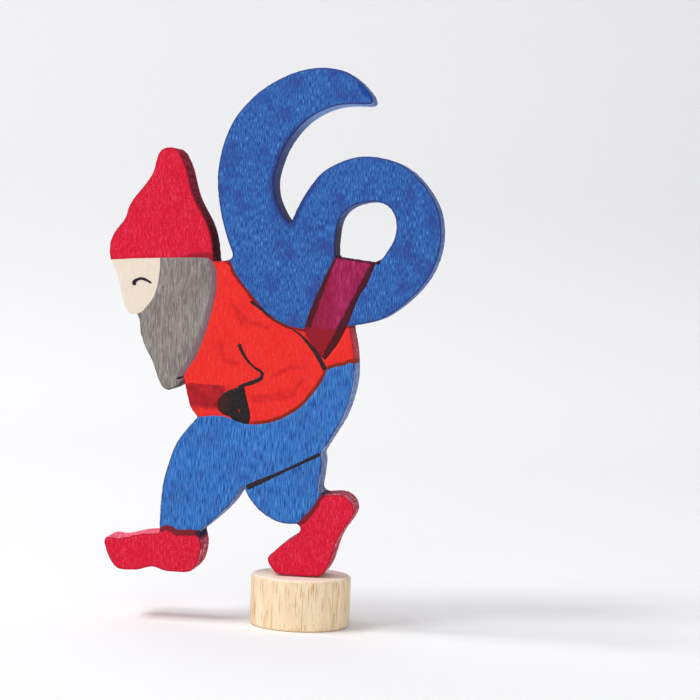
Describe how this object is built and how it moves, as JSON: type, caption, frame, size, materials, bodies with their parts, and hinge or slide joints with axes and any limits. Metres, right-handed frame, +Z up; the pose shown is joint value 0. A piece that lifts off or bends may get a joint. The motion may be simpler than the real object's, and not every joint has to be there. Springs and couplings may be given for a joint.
{
  "type": "gnome figurine",
  "caption": "Flat fretsawn wooden figurine of a walking gnome carrying a numeral, stained on both faces, standing on a metal pin in a round wooden plug.",
  "frame": {"origin": "centre of the plug's flat underside, on the axis of the plug and the pin", "axes": "+Z up along the pin, +Y out of the back face of the board, +X towards the gnome's back: he walks towards -X and his front face looks towards -Y"},
  "size_m": [0.0598, 0.018, 0.1001],
  "materials": {
    "limewood": "sanded bare limewood, vertical grain",
    "hat_red": "translucent crimson water stain on limewood, satin",
    "beard_grey": "translucent grey water stain on limewood, satin",
    "jacket_scarlet": "translucent scarlet water stain on limewood, satin",
    "mitten_black": "near-black stain on limewood, satin",
    "trousers_blue": "translucent blue water stain on limewood, satin",
    "shoe_red": "translucent crimson water stain on limewood, satin",
    "number_blue": "translucent blue water stain on limewood, satin",
    "strap_plum": "red stain with blue over it on limewood, satin",
    "ink": "black-brown drawing ink",
    "pin_steel": "plain drawn wire",
    "beech": "turned natural beech, fine sanded"
  },
  "bodies": {
    "plug": {"plug": "beech"},
    "pin": {"pin": "pin_steel"},
    "figure": {"figure_board": "limewood", "hat_stain": "hat_red", "beard_stain": "beard_grey", "jacket_stain": "jacket_scarlet", "mitten_stain": "mitten_black", "trousers_stain": "trousers_blue", "front_shoe_stain": "shoe_red", "rear_shoe_stain": "shoe_red", "number_stain": "number_blue", "strap_stain": "strap_plum", "eye_ink": "ink", "sleeve_ink": "ink", "back_seam_ink": "ink", "leg_seam_ink": "ink"}
  },
  "joints": [
    {"name": "pin_lift", "type": "slide", "parent": "plug", "child": "pin", "axis": [0, 0, 1], "range_m": [0, 0.006]},
    {"name": "figure_swivel", "type": "hinge", "parent": "pin", "child": "figure", "pos_m": [0, 0, 0.0095], "axis": [0, 0, 1], "continuous": true}
  ]
}
